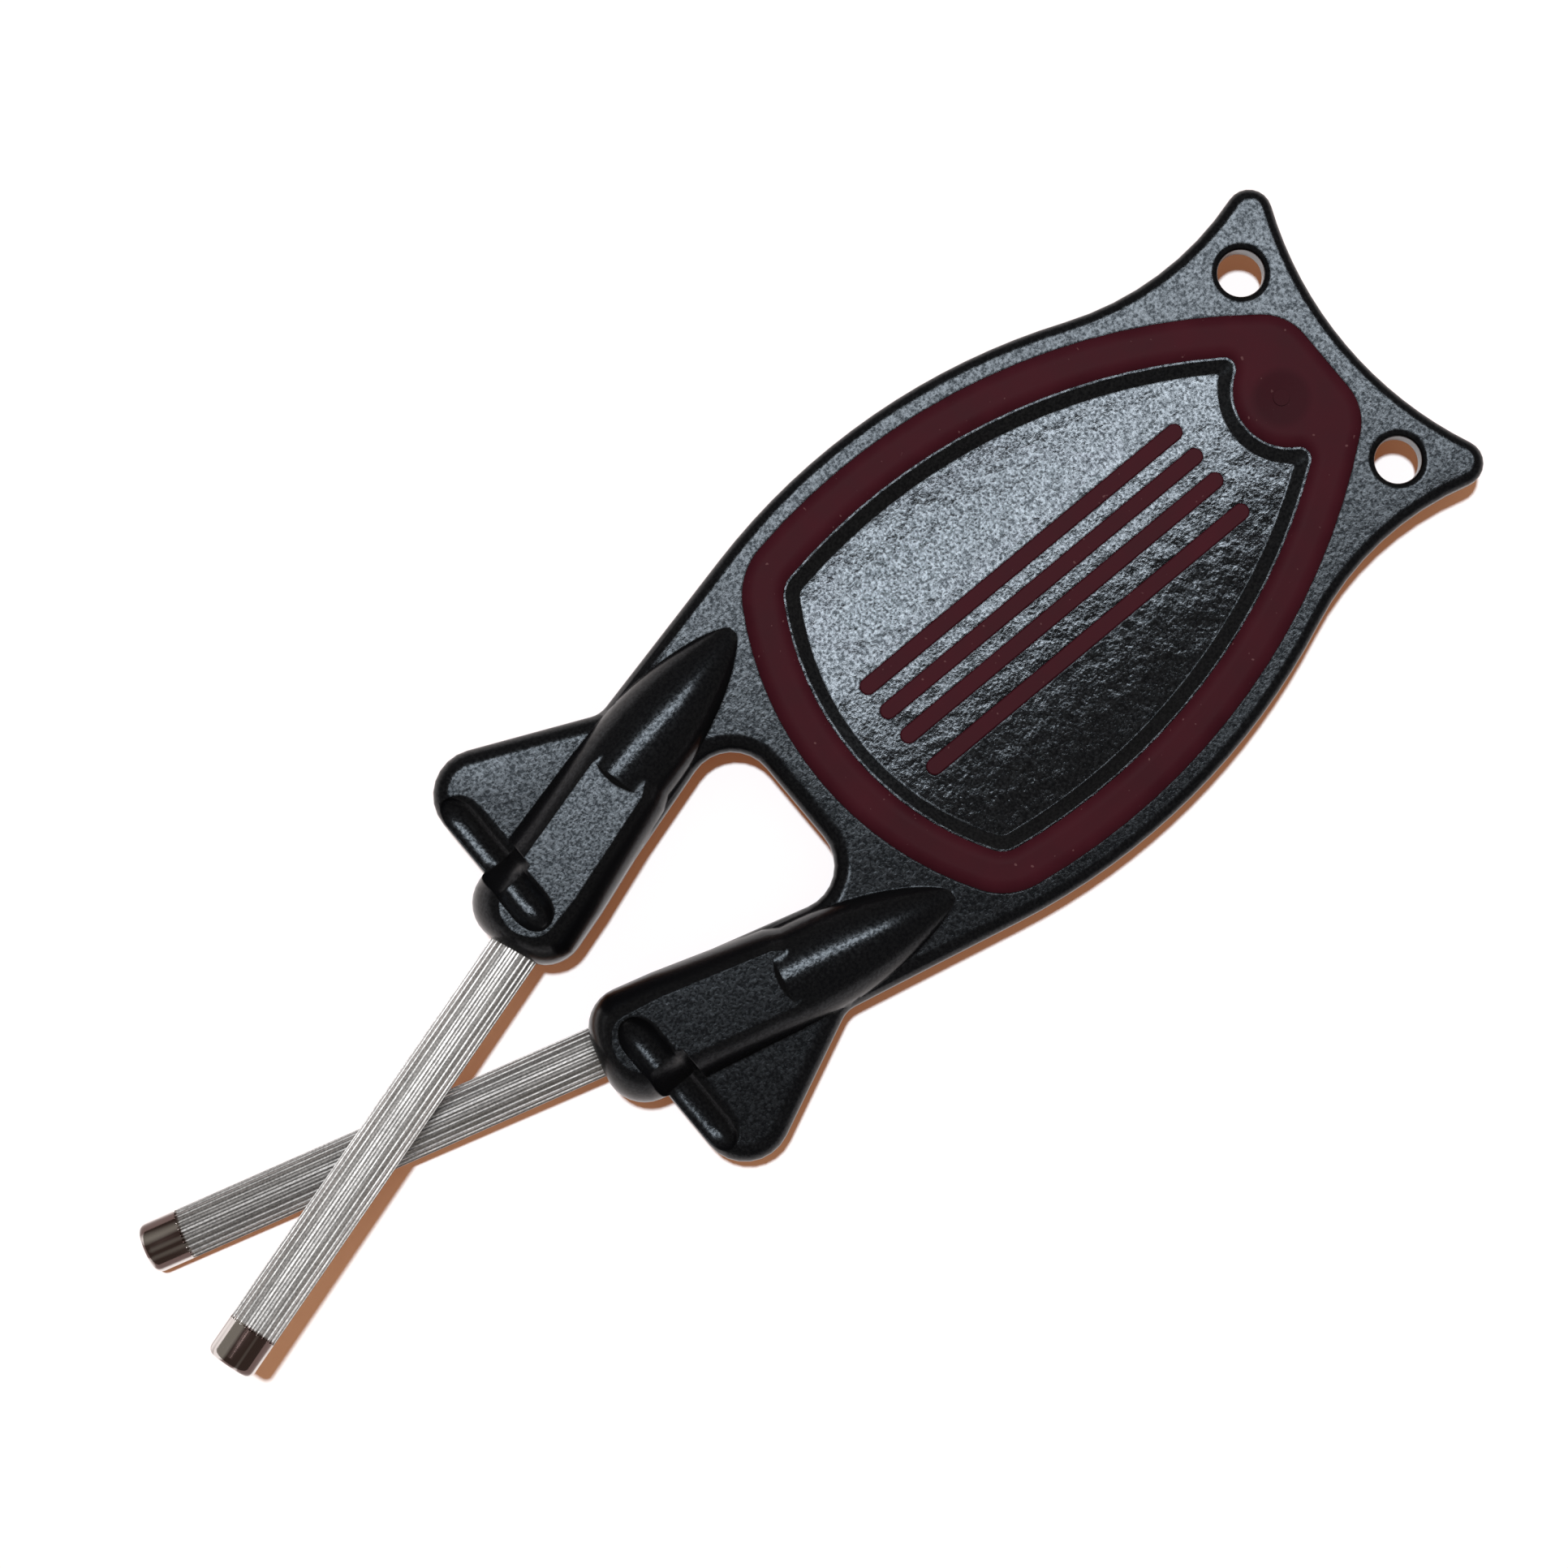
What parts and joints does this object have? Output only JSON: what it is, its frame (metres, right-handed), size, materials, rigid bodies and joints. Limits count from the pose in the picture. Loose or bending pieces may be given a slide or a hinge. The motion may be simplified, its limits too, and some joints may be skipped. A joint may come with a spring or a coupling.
{
  "type": "knife sharpener",
  "caption": "Hand-held knife sharpener: crossed fluted steel rods set in a moulded black handle with winged legs, finger gap, soft grip ring and lanyard holes.",
  "frame": {"origin": "under the middle of the bounding box, level with the lowest point, which is the tip of the lower rod", "axes": "+Y from the rod tips to the tail, +Z out of the front face, +X to the right seen from the front with the tail up"},
  "size_m": [0.0626, 0.1902, 0.0162],
  "materials": {
    "black_nylon": "glass-filled nylon, fine spark texture on flat faces, smooth satin on rounded edges",
    "maroon_rubber": "soft satin thermoplastic rubber",
    "maroon_inlay": "soft satin thermoplastic rubber",
    "fluted_steel": "drawn steel with fine lengthwise flutes and a plain polished tip"
  },
  "bodies": {
    "root": {"handle_frame": "black_nylon", "grip_ring": "maroon_rubber", "inlay_bars": "maroon_inlay", "upper_rod": "fluted_steel", "lower_rod": "fluted_steel"}
  },
  "joints": []
}
